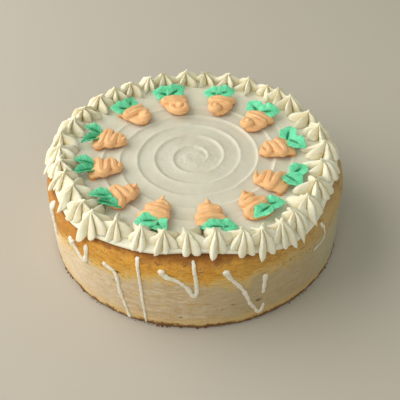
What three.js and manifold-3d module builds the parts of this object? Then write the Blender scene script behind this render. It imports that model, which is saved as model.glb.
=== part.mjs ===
// A round, uncut carrot cake: one baked cake, a frosting top combed in a spiral, a ring of piped
// frosting stars along the edge, and twelve piped carrots with leaves that point to the middle.
// Millimetres, +Z up. The origin is the centre of the flat base, so the cake stands on z = 0.

import * as THREE from 'three';
import { mergeVertices } from 'three/addons/utils/BufferGeometryUtils.js';
import Module from 'manifold-3d';

const wasm = await Module();
wasm.setup();

// The baked cake
const CAKE_RADIUS = 114.3;
const CAKE_HEIGHT = 67;
const SHOULDER_RADIUS = 10;
const BASE_ROUNDING = 2;
const SIDE_BULGE = 1;
const ROUND_SIDES = 40;

// The frosting top
const FROSTING_TOP = 71.5;
const FROSTING_THICKNESS = FROSTING_TOP - CAKE_HEIGHT;
const GAP = 0.3;
const COMB_CENTRE = new THREE.Vector2(0.7, -3.8);
const COMB_PITCH = 13.4;
const COMB_DEPTH = 1.2;
const COMB_START = 0.72;
const COMB_TROUGH = 0.7;
const COMB_REACH = 86;
const COMB_RINGS = 23;
// The ridges sit further out on one side of the centre
const COMB_SWAY = 2;
const COMB_SWAY_AZIMUTH = THREE.MathUtils.degToRad(128);
// Where the frosting runs further down the shoulder, or stops short: degrees of the shoulder's arc
const EVEN_DRAPE = 20;
const DRAPES = [
  { azimuth: -53, width: 16.5, extra: 34 },
  { azimuth: -24, width: 12, extra: -9 },
  { azimuth: -91, width: 13, extra: -22 },
  { azimuth: -140, width: 12, extra: 15 },
];

// The ring of piped stars
const STAR_COUNT = 36;
const STAR_RING_RADIUS = 101.5;
const STAR_RADIUS = 12.4;
const STAR_HEIGHT = 13;
const STAR_LOBES = 6;
const STAR_LEAN = 2.5;
const STAR_TWIST = THREE.MathUtils.degToRad(14);
// The stars were piped in runs, each evenly spaced, from one of these stars to the next
const STAR_RUNS = [
  { star: 0, azimuth: -122 },
  { star: 5, azimuth: -72.5 },
  { star: 9, azimuth: -40.3 },
  { star: 15, azimuth: 35.4 },
  { star: 17, azimuth: 51.3 },
  { star: 22, azimuth: 103.7 },
  { star: 26, azimuth: 139.7 },
  { star: 30, azimuth: 182 },
  { star: 32, azimuth: 198 },
  { star: 36, azimuth: 238 },
];
// Where the ring strays outwards or inwards
const RING_BULGES = [
  { azimuth: -58, width: 17, extra: 7.5 },
  { azimuth: -88, width: 10, extra: -2 },
  { azimuth: -134, width: 9, extra: 5 },
  { azimuth: 155, width: 18, extra: 3.5 },
];

// The piped carrots, placed about the comb's centre. turn is how far each points off the middle,
// and leaves are the directions of its two leaves, counted from straight outwards.
const CARROT_LENGTH = 30.5;
const CARROT_HALF_WIDTH = 11.5;
const CARROT_HEIGHT = 9;
const CARROT_TIP_LIFT = 3;
const CARROTS = [
  { radius: 69, azimuth: 103, turn: 3, leaves: [64, -64] },
  { radius: 69, azimuth: 71, turn: 8, leaves: [92, -62] },
  { radius: 64.7, azimuth: 39, turn: 17, leaves: [80, -46] },
  { radius: 62.8, azimuth: 3, turn: 18, leaves: [70, -50] },
  { radius: 64.7, azimuth: -31.6, turn: 8, leaves: [77, -31] },
  { radius: 72, azimuth: -56, turn: -1, leaves: [72, -82] },
  { radius: 70, azimuth: -82.2, turn: -2, leaves: [85, -100] },
  { radius: 70.5, azimuth: -113.2, turn: 2, leaves: [60, -66] },
  { radius: 70, azimuth: -139.5, turn: -6, leaves: [115, -46] },
  { radius: 69, azimuth: -167.5, turn: -9, leaves: [14, -38] },
  { radius: 69, azimuth: 163.6, turn: 1, leaves: [46, -18] },
  { radius: 71, azimuth: 131.4, turn: 1, leaves: [52, -52] },
];
const LEAF_LENGTH = 17;
const LEAF_HALF_WIDTH = 6;
const LEAF_HALF_THICKNESS = 1.3;
const LEAF_START = 10.5;
const LEAF_BASE = 5;

const FINISHES = {
  crust: new THREE.MeshStandardMaterial({ color: 0xcba676, roughness: 0.8, metalness: 0 }),
  frosting: new THREE.MeshStandardMaterial({ color: 0xe6dfcb, roughness: 0.5, metalness: 0 }),
  starFrosting: new THREE.MeshStandardMaterial({ color: 0xf3ebd2, roughness: 0.45, metalness: 0 }),
  carrotIcing: new THREE.MeshStandardMaterial({ color: 0xf2b277, roughness: 0.5, metalness: 0 }),
};

const { degToRad, euclideanModulo, lerp, smoothstep } = THREE.MathUtils;

// A number from -1 to 1 that is always the same for the same two numbers
function uneven(index, trait) {
  return euclideanModulo(Math.sin(index * 12.9898 + trait * 78.233) * 43758.5453, 2) - 1;
}

// 1 at the hump's azimuth and falling to 0 on both sides of it, in degrees
function hump({ azimuth, width }, atDegrees) {
  const away = euclideanModulo(atDegrees - azimuth + 180, 360) - 180;
  return Math.exp(-((away / width) ** 2));
}

// The baked round isn't quite a circle
function outline(azimuth) {
  return 1 + 0.004 * Math.sin(2 * azimuth + 2.4) + 0.004 * Math.cos(3 * azimuth + 0.9);
}

// A lathe whose profile may change as it turns: profileAt(azimuth) gives [radius, height] pairs,
// from the axis below to the axis above, and always as many.
function turned(profileAt, sides) {
  const first = profileAt(0).map(([radius, height]) => new THREE.Vector2(radius, height));
  const geometry = new THREE.LatheGeometry(first, sides);
  const position = geometry.getAttribute('position');
  for (let side = 0; side <= sides; side++) {
    const azimuth = ((side % sides) / sides) * 2 * Math.PI;
    profileAt(azimuth).forEach(([radius, height], row) => {
      const index = side * first.length + row;
      position.setXYZ(index, radius * Math.cos(azimuth), radius * Math.sin(azimuth), height);
    });
  }
  return geometry;
}

function reshape(geometry, move) {
  const position = geometry.getAttribute('position');
  const point = new THREE.Vector3();
  for (let index = 0; index < position.count; index++) {
    point.fromBufferAttribute(position, index);
    move(point);
    position.setXYZ(index, point.x, point.y, point.z);
  }
  return geometry;
}

function meshOf(name, geometry, finish) {
  geometry.computeVertexNormals();
  const mesh = new THREE.Mesh(geometry, finish);
  mesh.name = name;
  return mesh;
}

// A point on the shoulder's arc, so many degrees down from the flat top and so far off the crust
function shoulderPoint(degrees, offset) {
  const reach = SHOULDER_RADIUS + offset;
  return [
    CAKE_RADIUS - SHOULDER_RADIUS + reach * Math.sin(degToRad(degrees)),
    CAKE_HEIGHT - SHOULDER_RADIUS + reach * Math.cos(degToRad(degrees)),
  ];
}

function cakeBody() {
  const profile = [
    [0, 0],
    [CAKE_RADIUS - BASE_ROUNDING, 0],
    [CAKE_RADIUS, BASE_ROUNDING],
    [CAKE_RADIUS + SIDE_BULGE, CAKE_HEIGHT * 0.4],
    ...[90, 72, 54, 36, 18, 0].map((degrees) => shoulderPoint(degrees, 0)),
    [0, CAKE_HEIGHT],
  ];
  const geometry = turned((azimuth) => {
    const round = outline(azimuth);
    return profile.map(([radius, height]) => [radius * round, height]);
  }, ROUND_SIDES);
  return meshOf('cake_body', geometry, FINISHES.crust);
}

// How far down the shoulder the frosting reaches, in degrees of its arc
function drapeAt(azimuth) {
  const degrees = THREE.MathUtils.radToDeg(azimuth);
  return DRAPES.reduce((sum, drape) => sum + drape.extra * hump(drape, degrees), EVEN_DRAPE);
}

// The comb pushed the frosting outwards in one spiral. Going out from a ridge the surface falls
// gently into a trough, then climbs steeply to the next ridge, which stands at full height.
function combedHeight(x, y) {
  const away = new THREE.Vector2(x, y).sub(COMB_CENTRE);
  const sway = COMB_SWAY * smoothstep(away.length(), 6, 28) * Math.cos(away.angle() - COMB_SWAY_AZIMUTH);
  const turns = (away.length() - sway) / COMB_PITCH - away.angle() / (2 * Math.PI) - COMB_START;
  const share = euclideanModulo(turns, 1);
  const trough = smoothstep(share, 0, COMB_TROUGH) - smoothstep(share, COMB_TROUGH, 1);
  const fade = smoothstep(away.length(), 3, 9) * (1 - smoothstep(away.length(), 74, COMB_REACH - 4));
  return FROSTING_TOP - COMB_DEPTH * trough * fade;
}

function frostingTop() {
  const geometry = turned((azimuth) => {
    const round = outline(azimuth);
    const drape = drapeAt(azimuth);
    const thickness = FROSTING_THICKNESS * (1 - drape / 160);
    const underside = [0, 0.25, 0.5, 0.75, 1].map((share) => shoulderPoint(drape * share, GAP));
    const lip = [
      shoulderPoint(drape + 3, GAP + thickness * 0.35),
      shoulderPoint(drape + 1, GAP + thickness * 0.7),
      shoulderPoint(drape * 0.75, thickness * 0.97),
    ];
    const rings = Array.from({ length: COMB_RINGS + 1 }, (_, ring) => {
      const radius = COMB_REACH * (1 - ring / COMB_RINGS);
      return [radius, combedHeight(radius * Math.cos(azimuth), radius * Math.sin(azimuth))];
    });
    return [
      [0, CAKE_HEIGHT + GAP],
      ...underside.map(([radius, height]) => [radius * round, height]),
      ...lip.map(([radius, height]) => [radius * round, height]),
      [CAKE_RADIUS - SHOULDER_RADIUS - 1, FROSTING_TOP],
      ...rings,
    ];
  }, ROUND_SIDES);
  return meshOf('frosting_top', geometry, FINISHES.frosting);
}

function starAzimuth(star) {
  if (star < 0) return starAzimuth(star + STAR_COUNT) - 360;
  if (star >= STAR_COUNT) return starAzimuth(star - STAR_COUNT) + 360;
  const next = STAR_RUNS.findIndex((run) => run.star > star);
  const [from, to] = [STAR_RUNS[next - 1], STAR_RUNS[next]];
  return lerp(from.azimuth, to.azimuth, (star - from.star) / (to.star - from.star));
}

// A star with deep grooves between its ridges, drawn up to a leaning point. Its neighbours press
// its cheeks flat, halfway between them.
function pipedStar(star) {
  const azimuth = starAzimuth(star);
  const strays = RING_BULGES.map((bulge) => bulge.extra * hump(bulge, azimuth));
  const ringRadius = strays.reduce((sum, stray) => sum + stray, STAR_RING_RADIUS);
  const size = STAR_RADIUS * (1 + 0.05 * uneven(star, 1));
  const height = STAR_HEIGHT * (1 + 0.08 * uneven(star, 2));
  const start = Math.PI / STAR_LOBES + 0.2 * uneven(star, 3);
  const sidewaysLean = 1.8 * uneven(star, 4);
  const rows = [
    { reach: 0.88, groove: 0.34, up: 0 },
    { reach: 1, groove: 0.42, up: 0.14 },
    { reach: 0.72, groove: 0.46, up: 0.44 },
    { reach: 0.26, groove: 0.4, up: 0.78 },
  ];
  const geometry = turned((around) => {
    const inGroove = Math.round((around / Math.PI) * STAR_LOBES) % 2;
    const ridges = rows.map((row) => [size * row.reach * (1 - inGroove * row.groove), height * row.up]);
    return [[0, 0], ...ridges, [0, height]];
  }, 2 * STAR_LOBES);
  const halfAngles = [
    degToRad((azimuth - starAzimuth(star - 1)) / 2),
    degToRad((starAzimuth(star + 1) - azimuth) / 2),
  ];
  const turn = new THREE.Vector3(0, 0, 1);
  reshape(geometry, (point) => {
    const up = point.z / height;
    point.applyAxisAngle(turn, start + STAR_TWIST * up);
    point.x += ringRadius - STAR_LEAN * up ** 2;
    point.y += sidewaysLean * up ** 2;
    const [low, high] = halfAngles.map((half) => (point.x * Math.sin(half) - GAP / 2) / Math.cos(half));
    point.y = THREE.MathUtils.clamp(point.y, -low, high);
    point.z += FROSTING_TOP + GAP;
  });
  const mesh = meshOf('star_' + String(star + 1).padStart(2, '0'), geometry, FINISHES.starFrosting);
  mesh.rotation.z = degToRad(azimuth);
  return mesh;
}

function solidOf(geometry) {
  const shape = geometry.clone();
  shape.deleteAttribute('normal');
  shape.deleteAttribute('uv');
  const merged = mergeVertices(shape, 1e-3);
  return new wasm.Manifold(
    new wasm.Mesh({
      numProp: 3,
      vertProperties: merged.getAttribute('position').array,
      triVerts: new Uint32Array(merged.index.array),
    }),
  );
}

function geometryOf(solid) {
  const { vertProperties, triVerts } = solid.getMesh();
  const geometry = new THREE.BufferGeometry();
  geometry.setAttribute('position', new THREE.BufferAttribute(vertProperties, 3));
  geometry.setIndex(new THREE.BufferAttribute(triVerts, 1));
  return geometry;
}

// The root is laid down in swings from side to side that narrow to the tip. +X runs from the tip
// to the leaves, and the root lies on z = 0 with its tip lifted.
function carrotRoot(carrot) {
  const rows = [
    { along: 0.5, width: 0.62 },
    { along: 0.42, width: 1 },
    { along: 0.22, width: 1 },
    { along: 0.15, width: 0.88 },
    { along: -0.05, width: 0.86 },
    { along: -0.12, width: 0.7 },
    { along: -0.28, width: 0.62 },
    { along: -0.4, width: 0.36 },
  ];
  const geometry = turned(() => [
    [0, CARROT_LENGTH * rows[0].along],
    ...rows.map(({ along, width }) => [CARROT_HALF_WIDTH * width, CARROT_LENGTH * along]),
    [0, -CARROT_LENGTH * 0.5],
  ].reverse(), 8);
  geometry.rotateY(Math.PI / 2);
  return reshape(geometry, (point) => {
    const toTip = 0.5 - point.x / CARROT_LENGTH;
    point.z = Math.max(0, (point.z * CARROT_HEIGHT) / CARROT_HALF_WIDTH);
    point.z *= lerp(0.6, 1, smoothstep(toTip, 0.05, 0.4));
    point.z += CARROT_TIP_LIFT * toTip ** 4;
    point.x += 1.2 * Math.sin(toTip * 7 * Math.PI) * (point.y / CARROT_HALF_WIDTH);
    point.y += 1.5 * uneven(carrot, 5) * toTip ** 2;
  });
}

// A pointed leaf with its two halves folded up from the middle, turned by so many degrees
function carrotLeaf(direction) {
  const halfLength = LEAF_LENGTH / 2;
  const geometry = turned(() => [
    [0, -halfLength],
    [0.8, -halfLength * 0.55],
    [1, halfLength * 0.1],
    [0.55, halfLength * 0.65],
    [0, halfLength],
  ], 6);
  geometry.rotateY(Math.PI / 2);
  reshape(geometry, (point) => {
    point.y *= LEAF_HALF_WIDTH;
    point.z = point.z * LEAF_HALF_THICKNESS + 0.3 * Math.abs(point.y);
  });
  geometry.translate(halfLength - 2.5, 0, 0);
  geometry.rotateZ(degToRad(direction));
  geometry.translate(LEAF_START, 0, LEAF_BASE);
  return geometry;
}

function pipedCarrot({ radius, azimuth, turn, leaves }, carrot) {
  const pieces = [carrotRoot(carrot), ...leaves.map((direction) => carrotLeaf(direction - turn))];
  const solid = pieces.map(solidOf).reduce((joined, piece) => joined.add(piece));
  const name = 'carrot_' + String(carrot + 1).padStart(2, '0');
  const mesh = meshOf(name, geometryOf(solid), FINISHES.carrotIcing);
  const place = degToRad(azimuth);
  mesh.rotation.z = place + degToRad(turn);
  mesh.position.set(
    COMB_CENTRE.x + radius * Math.cos(place),
    COMB_CENTRE.y + radius * Math.sin(place),
    FROSTING_TOP + GAP,
  );
  return mesh;
}

const cake = new THREE.Group();
cake.add(cakeBody(), frostingTop());
for (let star = 0; star < STAR_COUNT; star++) cake.add(pipedStar(star));
CARROTS.forEach((place, carrot) => cake.add(pipedCarrot(place, carrot)));

export default cake;
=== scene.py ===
# A whole round carrot cake: one baked cake with a browned shoulder, a combed frosting top, a ring
# of piped frosting stars, and piped carrots with green leaves. The pieces follow the order in
# which the cake is put together. Meshes are shaped in millimetres and scaled to metres at the end.

import math
import random

import bmesh
import bpy
from mathutils import Matrix, Vector, noise


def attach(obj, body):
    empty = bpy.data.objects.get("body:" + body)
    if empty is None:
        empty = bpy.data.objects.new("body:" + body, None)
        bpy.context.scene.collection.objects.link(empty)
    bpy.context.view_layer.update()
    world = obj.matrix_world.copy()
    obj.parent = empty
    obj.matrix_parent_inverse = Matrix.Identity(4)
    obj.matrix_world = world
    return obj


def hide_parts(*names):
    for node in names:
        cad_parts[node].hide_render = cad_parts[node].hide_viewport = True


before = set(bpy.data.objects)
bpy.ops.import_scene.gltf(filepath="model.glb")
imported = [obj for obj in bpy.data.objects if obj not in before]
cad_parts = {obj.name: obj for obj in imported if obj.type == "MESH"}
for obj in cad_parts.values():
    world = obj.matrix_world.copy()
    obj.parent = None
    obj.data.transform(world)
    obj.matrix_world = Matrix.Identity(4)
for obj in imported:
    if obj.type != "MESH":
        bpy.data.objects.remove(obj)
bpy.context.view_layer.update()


# ----------------------------------------
# The baked cake. One dense, moist crumb, baked in a round tin: the side is smooth from the tin's
# wall, with fine level wrinkles and a few pits, and the rounded shoulder is browned by the oven.

MM = 0.001
CAKE_RADIUS = 114.3
CAKE_HEIGHT = 67.0
SHOULDER_RADIUS = 10.0
# The shoulder's arc starts at this radius of the top, and ends at this height of the side
FLAT_RADIUS = CAKE_RADIUS - SHOULDER_RADIUS
SHOULDER_HEIGHT = CAKE_HEIGHT - SHOULDER_RADIUS
FOOT_ROUNDING = 2.0
SIDE_BULGE = 1.0
BULGE_HEIGHT = 27.0
CAKE_SIDES = 480
SIDE_ROWS = 84
SHOULDER_ROWS = 14
FOOT_ROWS = 3
# The side's relief grows from nothing at the first radius to all of it at the second
RELIEF_RADII = (CAKE_RADIUS - 12.0, CAKE_RADIUS - 3.0)
# The foot is ragged up to the first height, and even from the second up
FOOT_RAGGEDNESS = 0.7
RAGGED_HEIGHTS = (0.5, 5.0)

# Small open pits in the side: azimuth, height and radius
PITS = [
    (-119.0, 47.0, 1.4), (-67.6, 20.5, 1.7), (-96.0, 12.0, 0.9), (-77.5, 23.0, 0.8),
    (-120.5, 38.0, 0.8), (20.0, 35.0, 1.3), (74.0, 22.0, 1.5), (151.0, 41.0, 1.2),
]
PIT_DEPTH = 0.9
# How much longer a pit is than it is high
PIT_LENGTH = 1.7

# The heights between which the crust turns golden
GOLDEN_EDGE = (47.0, 56.0)

# Creamy is painted light on the lit side, dull is painted shade, greyish is a painted reflection
CRUST_PAINTED_LIT_SIDE = (0.86, 0.73, 0.54)
CRUST_PALE = (0.72, 0.6, 0.43)
CRUST_PAINTED_SHADED_SIDE = (0.43, 0.355, 0.21)
CRUST_PAINTED_REFLECTION = (0.56, 0.57, 0.43)
# Painted shade in the browned band on the side away from the light
CRUST_PAINTED_BAND_SHADE = (0.3, 0.23, 0.08)
CRUST_ROSY = (0.64, 0.49, 0.34)
CRUST_TAN = (0.56, 0.43, 0.26)
CRUST_HONEY = (0.78, 0.51, 0.155)
CRUST_GOLDEN = (0.78, 0.4, 0.06)
CRUST_BROWN = (0.49, 0.205, 0.035)
# Scorched crust, and painted shadow under the frosting's rim
CRUST_SCORCH_AND_SHADOW = (0.24, 0.085, 0.018)
# Dark specks, and painted shade in the pits and along the foot
CRUST_SPECK_AND_SHADE = (0.17, 0.075, 0.022)


def lerp(start, end, share):
    return start + (end - start) * share


def smooth_step(value, low, high):
    share = min(1.0, max(0.0, (value - low) / (high - low)))
    return share * share * (3.0 - 2.0 * share)


def turned(radius, degrees, height=0.0):
    """The point at a radius, an azimuth in degrees and a height."""
    angle = math.radians(degrees)
    return Vector((radius * math.cos(angle), radius * math.sin(angle), height))


def rotation(degrees, axis="Z"):
    return Matrix.Rotation(math.radians(degrees), 4, axis)


def degrees_apart(azimuth, other):
    return (azimuth - other + 180.0) % 360.0 - 180.0


def polar(x, y):
    """The radius and the azimuth in degrees of a point."""
    return math.hypot(x, y), math.degrees(math.atan2(y, x))


def round_share(azimuth):
    """How far the round at this azimuth is from a true circle."""
    angle = math.radians(azimuth)
    return 1.0 + 0.004 * math.sin(2.0 * angle + 2.4) + 0.004 * math.cos(3.0 * angle + 0.9)


def ripple(point, size, seed=0.0):
    """Smooth noise from -1 to 1 whose lumps are about so many millimetres across."""
    return noise.noise(Vector(point) / size + Vector((seed, seed * 0.7, seed * 1.3)))


def vertex_layer(bm, name):
    """The layer that holds one number for each vertex."""
    layers = bm.verts.layers.float
    return layers.get(name) or layers.new(name)


def joined_points(bm, points):
    """Adds a line of points to a bmesh, and returns its vertices."""
    line = [bm.verts.new(point) for point in points]
    for pair in zip(line, line[1:]):
        bm.edges.new(pair)
    return line


def spin_round(bm, steps):
    """Spins the section in a bmesh full round the cake's middle."""
    bmesh.ops.spin(
        bm, geom=bm.verts[:] + bm.edges[:], cent=(0, 0, 0), axis=(0, 0, 1), angle=math.tau,
        steps=steps, use_merge=True,
    )
    bmesh.ops.remove_doubles(bm, verts=bm.verts, dist=0.001)


def scene_object(name, data):
    """Puts an object into the scene, of a mesh, a light or a camera."""
    made = bpy.data.objects.new(name, data)
    bpy.context.scene.collection.objects.link(made)
    return made


def mesh_object(name, bm):
    """Puts an object with a bmesh's form into the scene. The bmesh is used up."""
    mesh = bpy.data.meshes.new(name)
    bm.to_mesh(mesh)
    bm.free()
    return scene_object(name, mesh)


def make_piece(name, bm, material, slot, *nodes):
    """Turns a bmesh in millimetres into a smooth piece of the cake that stands for CAD nodes."""
    bmesh.ops.recalc_face_normals(bm, faces=bm.faces)
    bmesh.ops.scale(bm, vec=(MM, MM, MM), verts=bm.verts)
    piece = mesh_object(name, bm)
    piece.data.shade_smooth()
    piece.data.materials.append(material)
    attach(piece, "root")
    if nodes:
        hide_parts(*nodes)


class Finish:
    """A material whose nodes are added one by one in front of its Principled shader."""

    def __init__(self, name, **inputs):
        self.material = bpy.data.materials.new(name)
        self.material.use_nodes = True
        self.nodes = self.material.node_tree.nodes
        self.shader = self.nodes["Principled BSDF"]
        self.feed(self.shader, {socket.replace("_", " "): value for socket, value in inputs.items()})
        self.coordinates = self.add("TexCoord").outputs["Object"]

    def feed(self, node, inputs):
        """Sets each input to a number or a colour, or links it to another node's output."""
        for name, value in inputs.items():
            socket = node.inputs[name]
            if isinstance(value, bpy.types.NodeSocket):
                self.material.node_tree.links.new(value, socket)
            elif socket.type == "RGBA":
                socket.default_value = (*value, 1.0)
            else:
                socket.default_value = value

    def add(self, kind, **inputs):
        node = self.nodes.new("ShaderNode" + kind)
        self.feed(node, inputs)
        return node

    def noise(self, size, detail, roughness, stretch=(1.0, 1.0, 1.0)):
        """Noise whose lumps are so many millimetres across, and longer where stretch is under 1."""
        place = self.add("Mapping", Vector=self.coordinates, Scale=stretch).outputs["Vector"]
        inputs = {"Scale": 1.0 / (size * MM), "Detail": detail, "Roughness": roughness}
        return self.add("TexNoise", Vector=place, **inputs).outputs["Fac"]

    def cells(self, size):
        """The distance to the nearest of scattered points about so many millimetres apart."""
        return self.add("TexVoronoi", Vector=self.coordinates, Scale=1.0 / (size * MM)).outputs["Distance"]

    def attribute(self, name):
        node = self.add("Attribute")
        node.attribute_name = name
        return node.outputs["Fac"]

    def math(self, operation, first, second=0.0):
        node = self.add("Math")
        node.operation = operation
        self.feed(node, {0: first, 1: second})
        return node.outputs["Value"]

    def product(self, first, second):
        return self.math("MULTIPLY", first, second)

    def total(self, first, *others):
        for other in others:
            first = self.math("ADD", first, other)
        return first

    def axis(self, name):
        """One object coordinate, in millimetres."""
        return self.math("DIVIDE", self.add("SeparateXYZ", Vector=self.coordinates).outputs[name], MM)

    def swing(self, pattern, amount):
        """Noise, turned into a shift of up to about a third of this amount either way."""
        return self.product(self.math("SUBTRACT", pattern, 0.5), amount)

    def ranged(self, value, low, high, at_low=0.0, at_high=1.0):
        """Maps low to high smoothly onto another range, and clamps it."""
        node = self.add("MapRange", Value=value)
        node.interpolation_type = "SMOOTHSTEP"
        self.feed(node, {"From Min": low, "From Max": high, "To Min": at_low, "To Max": at_high})
        return node.outputs["Result"]

    def mix(self, share, first, second):
        """Mixes two colours, each a tuple or a node's output."""
        node = self.add("Mix")
        node.data_type = "RGBA"
        # The colours' sockets bear the same names as those for numbers, and come after them
        self.feed(node, {0: share, 6: first, 7: second})
        return node.outputs[2]

    def layered(self, colour, layers, within=None):
        """Lays colours over a colour, all within one share of the surface. Each layer: a pattern,
        where on it the colour starts and is full, how much it covers there, and the colour."""
        for pattern, start, full, most, over in layers:
            share = self.ranged(pattern, start, full, 0.0, most)
            colour = self.mix(self.product(share, within) if within else share, colour, over)
        return colour

    def bump(self, height, depth, strength, **below):
        """Relief of so many millimetres, laid over the Normal below it, if one is given."""
        node = self.add("Bump", Height=height, Distance=depth * MM, Strength=strength, **below)
        return node.outputs["Normal"]

    def finish(self, colour, normal, **others):
        self.feed(self.shader, {"Base Color": colour, "Normal": normal, **others})
        return self.material


def crust_material():
    crust = Finish("baked_crust", Roughness=0.75, Specular_IOR_Level=0.25)
    level = crust.axis("Z")
    along = crust.axis("X")
    blotches = crust.noise(20.0, 3.0, 0.55)
    patches = crust.noise(6.0, 4.0, 0.65)
    strata = crust.noise(4.0, 5.0, 0.7, (0.35, 0.35, 1.0))
    streaks = crust.noise(2.6, 4.0, 0.65, (0.35, 0.35, 1.6))
    lines = crust.noise(7.0, 3.0, 0.6, (0.3, 0.3, 1.5))
    fine = crust.noise(1.1, 4.0, 0.75)

    # The bare crumb: level streaks, with painted light and painted shade across the X axis
    low = crust.total(level, crust.swing(patches, 14.0))
    colour = crust.layered(CRUST_TAN, [
        (strata, 0.40, 0.60, 1.0, CRUST_PALE),
        (blotches, 0.45, 0.60, 0.6, CRUST_ROSY),
        (streaks, 0.42, 0.62, 0.7, CRUST_TAN),
        (patches, 0.52, 0.66, 0.35, CRUST_HONEY),
        # Painted light: creamier on the lit -X side
        (along, -30.0, -95.0, 0.5, CRUST_PAINTED_LIT_SIDE),
        # Painted shade: duller from the middle towards +X
        (along, -20.0, 45.0, 0.72, CRUST_PAINTED_SHADED_SIDE),
        # Painted reflection: greyish at the far +X side
        (along, 75.0, 105.0, 0.5, CRUST_PAINTED_REFLECTION),
        (streaks, 0.57, 0.68, 0.45, CRUST_BROWN),
        (low, 14.0, 3.0, 0.6, CRUST_HONEY),
        (low, 7.0, 0.0, 0.4, CRUST_BROWN),
    ])

    # The browned band, with a ragged lower edge, faded towards +X as painted shade
    lit_side_share = crust.ranged(along, 10.0, 95.0, 1.0, 0.25)
    edge = crust.total(
        level, crust.swing(blotches, 26.0), crust.swing(patches, 16.0), crust.swing(streaks, 12.0),
        crust.ranged(along, -60.0, -108.0, 0.0, 7.0),
    )
    colour = crust.layered(colour, [
        (edge, 39.0, 51.0, 1.0, CRUST_HONEY),
        (edge, *GOLDEN_EDGE, 1.0, CRUST_GOLDEN),
        (edge, 54.5, 68.0, 0.8, CRUST_BROWN),
    ], lit_side_share)
    colour = crust.layered(colour, [
        (along, -62.0, -104.0, 0.9, CRUST_BROWN),
        (patches, 0.52, 0.64, 0.5, CRUST_HONEY),
        (streaks, 0.50, 0.64, 0.6, CRUST_BROWN),
        (patches, 0.46, 0.34, 0.5, CRUST_BROWN),
        (fine, 0.46, 0.60, 0.45, CRUST_BROWN),
        # Painted shade: olive in the band towards +X
        (along, 5.0, 75.0, 0.5, CRUST_PAINTED_BAND_SHADE),
    ], crust.product(crust.ranged(edge, *GOLDEN_EDGE), lit_side_share))
    # Right under the frosting: a dark band, partly scorched crust and partly painted shadow of the rim
    scorch_and_shadow_edge = crust.total(level, crust.swing(patches, 10.0))
    colour = crust.layered(colour, [(scorch_and_shadow_edge, 62.5, 66.5, 0.9, CRUST_SCORCH_AND_SHADOW)], lit_side_share)

    # Thin dark wrinkles where the browned shoulder ends, specks, painted shade in pits and at the foot
    off_line = crust.math("ABSOLUTE", crust.math("SUBTRACT", lines, 0.5))
    wrinkled = crust.product(crust.ranged(level, 36.0, 46.0), crust.ranged(patches, 0.42, 0.58, 0.0, 0.8))
    colour = crust.layered(colour, [(off_line, 0.018, 0.004, 1.0, CRUST_SCORCH_AND_SHADOW)], wrinkled)
    colour = crust.layered(colour, [(fine, 0.42, 0.62, 0.22, CRUST_BROWN)])
    speckled = crust.ranged(blotches, 0.46, 0.58)
    colour = crust.layered(colour, [(crust.cells(4.0), 0.15, 0.06, 0.6, CRUST_SPECK_AND_SHADE)], speckled)
    # Painted shade in the pits
    colour = crust.mix(crust.attribute("pit"), colour, CRUST_SPECK_AND_SHADE)
    # Painted contact shadow: a dark line along the foot
    contact = crust.total(level, crust.swing(fine, 6.0), crust.swing(patches, 9.0))
    colour = crust.layered(colour, [(contact, 5.6, 3.0, 0.95, CRUST_SPECK_AND_SHADE)])
    normal = crust.bump(streaks, 0.6, 0.6)
    return crust.finish(colour, crust.bump(fine, 0.3, 0.6, Normal=normal))


def crust_relief(point, height):
    """How far the side stands out from its even form at a point of that form."""
    bulge = SIDE_BULGE * (1.0 - abs(height - BULGE_HEIGHT) / (CAKE_HEIGHT - BULGE_HEIGHT))
    dents = 0.45 * ripple(point, 22.0) + 0.2 * ripple(point, 7.0, 3.0)
    wrinkles = 0.24 * ripple((point.x / 4.0, point.y / 4.0, height), 2.4, 5.0)
    return bulge + dents + wrinkles


def pitted(azimuth, height):
    """How far this place on the side lies in a pit, from 0 to 1."""
    deepest = 0.0
    for pit_azimuth, pit_height, pit_radius in PITS:
        along = math.radians(degrees_apart(azimuth, pit_azimuth)) * CAKE_RADIUS / PIT_LENGTH
        away = math.hypot(along, height - pit_height) / pit_radius
        deepest = max(deepest, 1.0 - smooth_step(away, 0.35, 1.1))
    return deepest


def baked_cake():
    bm = bmesh.new()
    corners = [(0.0, 0.0), (CAKE_RADIUS, 0.0), (CAKE_RADIUS, CAKE_HEIGHT), (0.0, CAKE_HEIGHT)]
    joined_points(bm, [(radius, 0.0, height) for radius, height in corners])
    roundings = [(0.0, FOOT_ROUNDING, FOOT_ROWS), (CAKE_HEIGHT, SHOULDER_RADIUS, SHOULDER_ROWS)]
    for height, rounding, rows in roundings:
        corner = [v for v in bm.verts if v.co.x > 0.0 and v.co.z == height]
        bmesh.ops.bevel(
            bm, geom=corner, offset=rounding, affect="VERTICES", segments=rows, profile=0.5, material=-1
        )
    wall = [edge for edge in bm.edges if abs(edge.verts[0].co.z - edge.verts[1].co.z) > CAKE_HEIGHT / 2.0]
    bmesh.ops.subdivide_edges(bm, edges=wall, cuts=SIDE_ROWS)
    spin_round(bm, CAKE_SIDES)
    pit_layer = vertex_layer(bm, "pit")
    for v in bm.verts:
        radius, azimuth = polar(v.co.x, v.co.y)
        height = v.co.z
        side = smooth_step(radius, *RELIEF_RADII)
        ragged = FOOT_RAGGEDNESS * ripple(v.co, 3.5, 9.0) * (1.0 - smooth_step(height, *RAGGED_HEIGHTS))
        v[pit_layer] = pitted(azimuth, height) * side
        move = crust_relief(v.co, height) + ragged - PIT_DEPTH * v[pit_layer]
        grown = radius * round_share(azimuth) + move * side
        if radius > 0.0:
            v.co.x *= grown / radius
            v.co.y *= grown / radius
    make_piece("baked_cake", bm, crust_material(), "crust", "cake_body")


baked_cake()


# ----------------------------------------
# The frosting top. A cream frosting, spread over the cake while it turned under a spatula that
# was drawn outwards, which left one spiral ridge. Its rim rolls over the cake's shoulder.

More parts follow.
